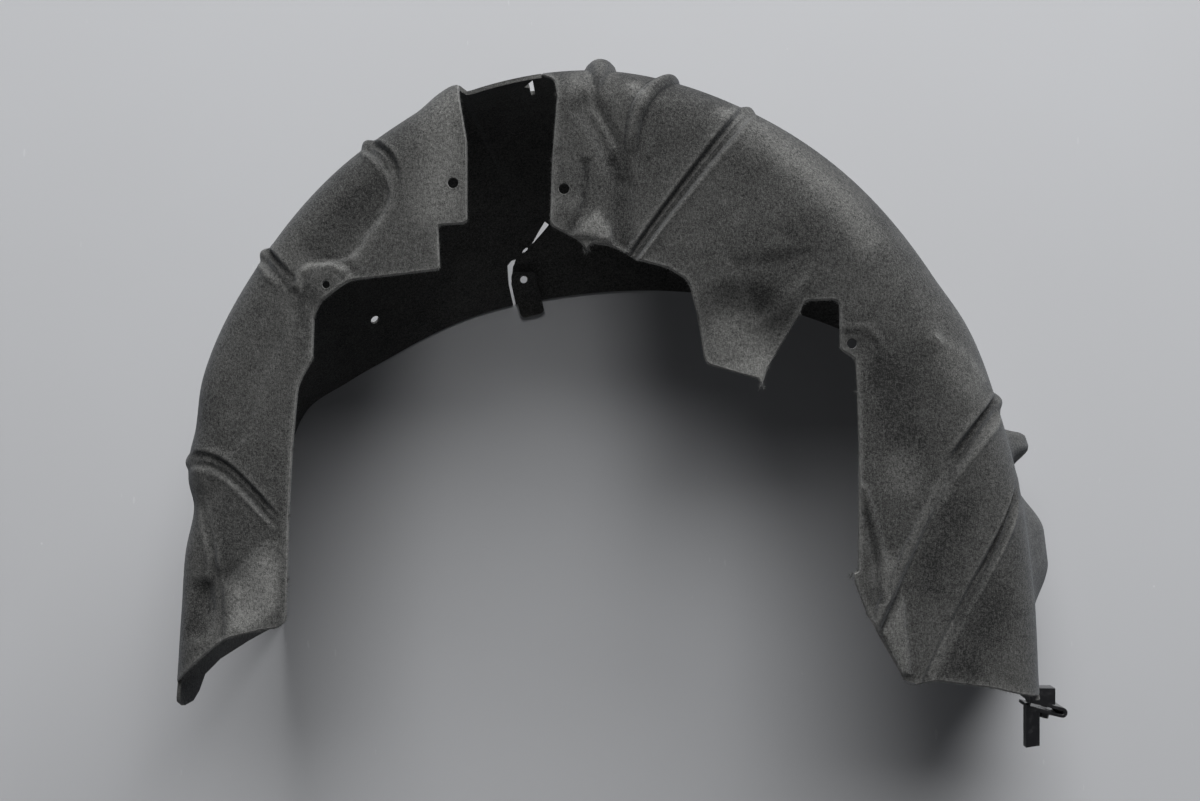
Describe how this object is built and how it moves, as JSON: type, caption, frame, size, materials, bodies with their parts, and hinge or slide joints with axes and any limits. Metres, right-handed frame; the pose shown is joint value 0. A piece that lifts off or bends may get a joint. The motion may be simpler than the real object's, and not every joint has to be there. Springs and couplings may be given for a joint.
{
  "type": "wheel arch liner",
  "caption": "Pressed felt liner for a rear wheel arch, a domed horseshoe shell with ribs, a notched side wall, fixing holes and a plastic corner bracket",
  "frame": {"origin": "middle of the bounding box, on the surface that the fender edge rests on", "axes": "+X across the arch from the left leg to the right leg, +Y towards the crown of the arch, +Z towards the inboard side wall"},
  "size_m": [0.8584, 0.6474, 0.2569],
  "materials": {
    "pressed_felt": "dark grey needled felt, speckled with lighter fibres, fuzzy cut edges, light scuffs",
    "black_plastic": "moulded black plastic with a soft shine"
  },
  "bodies": {
    "root": {"felt_shell": "pressed_felt", "corner_bracket": "black_plastic"}
  },
  "joints": []
}
